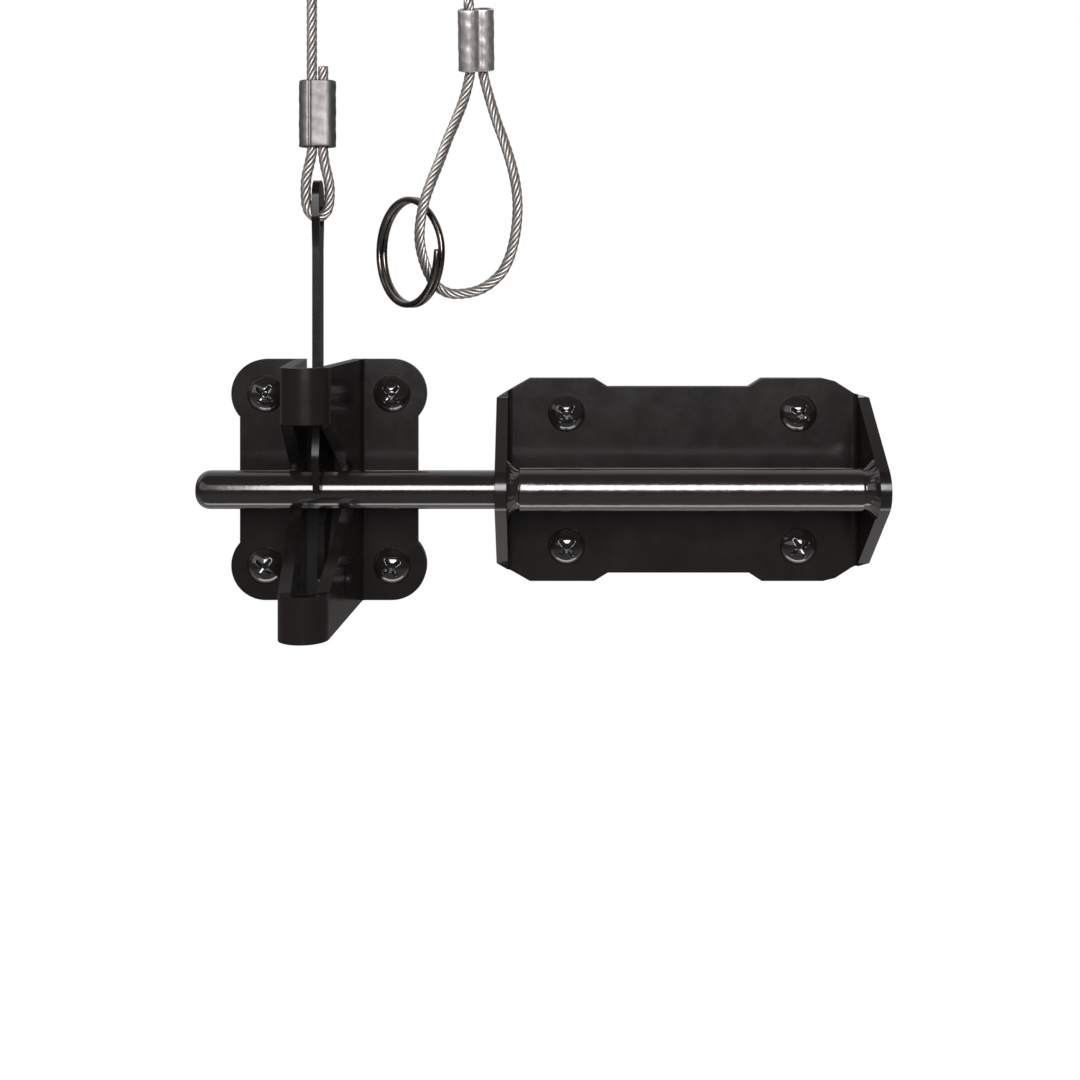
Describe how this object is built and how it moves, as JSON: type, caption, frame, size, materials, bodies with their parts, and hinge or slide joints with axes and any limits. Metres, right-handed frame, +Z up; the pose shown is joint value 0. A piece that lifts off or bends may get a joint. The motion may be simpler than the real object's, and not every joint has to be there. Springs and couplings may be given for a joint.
{
  "type": "gravity gate latch",
  "caption": "Gravity gate latch: folded post bracket with V mouth and lifting pawl, round striker bar on an eared gate plate, and a wire release cable with a pull ring.",
  "frame": {"origin": "middle of the post side's four screws, on its mounting face", "axes": "+X along the bar from the post to the gate, +Z up, -Y out of the post toward the user"},
  "size_m": [0.1725, 0.079, 0.1868],
  "materials": {
    "black_coat": "gloss black coat",
    "pawl_coat": "gloss black coat",
    "sleeve_coat": "gloss black coat with orange peel",
    "black_screw": "gloss black",
    "pin_steel": "gloss black coat",
    "spacer": "plain zinc",
    "wire_rope": "bright stranded steel",
    "ferrule": "satin, crimped",
    "ring_steel": "dark polished",
    "hook_steel": "zinc plated"
  },
  "bodies": {
    "post_side": {"latch_body": "black_coat", "pivot_pin": "pin_steel", "spacer_left": "spacer", "spacer_right": "spacer", "latch_screw_upper_left": "black_screw", "latch_screw_upper_right": "black_screw", "latch_screw_lower_left": "black_screw", "latch_screw_lower_right": "black_screw", "cable_hook": "hook_steel", "cable_arch": "wire_rope"},
    "pawl": {"pawl": "pawl_coat"},
    "gate_side": {"striker_plate": "black_coat", "striker_bar": "black_coat", "bar_sleeve": "sleeve_coat", "weld_left": "black_coat", "weld_right": "black_coat", "striker_screw_upper_left": "black_screw", "striker_screw_upper_right": "black_screw", "striker_screw_lower_left": "black_screw", "striker_screw_lower_right": "black_screw"},
    "release_end": {"release_strand": "wire_rope", "release_ferrule": "ferrule", "release_loop": "wire_rope"},
    "pull_end": {"pull_strand": "wire_rope", "pull_ferrule": "ferrule", "pull_loop": "wire_rope"},
    "pull_ring": {"pull_ring": "ring_steel"}
  },
  "joints": [
    {"name": "pawl_pivot", "type": "hinge", "parent": "post_side", "child": "pawl", "pos_m": [0, -0.008, -0.0015], "axis": [-1, 0, 0], "range_deg": [0, 15.5]},
    {"name": "gate_play", "type": "slide", "parent": "post_side", "child": "gate_side", "axis": [1, 0, 0], "range_m": [-0.0175, 0.0175]},
    {"name": "release_swing", "type": "hinge", "parent": "post_side", "child": "release_end", "pos_m": [-0.001, -0.0252, 0.13], "axis": [1, 0, 0], "range_deg": [0, 17.76]},
    {"name": "pull_end_swing", "type": "hinge", "parent": "post_side", "child": "pull_end", "pos_m": [0.038, -0.0252, 0.13], "axis": [0, 1, 0], "range_deg": [-6, 6]},
    {"name": "ring_swivel", "type": "hinge", "parent": "pull_end", "child": "pull_ring", "pos_m": [0.0275, -0.0252, 0.0546], "axis": [0, 0, 1], "range_deg": [-3, 10]}
  ],
  "couplings": [
    {"joint": "release_swing", "follows": "pawl_pivot", "ratio": 1.1453}
  ]
}
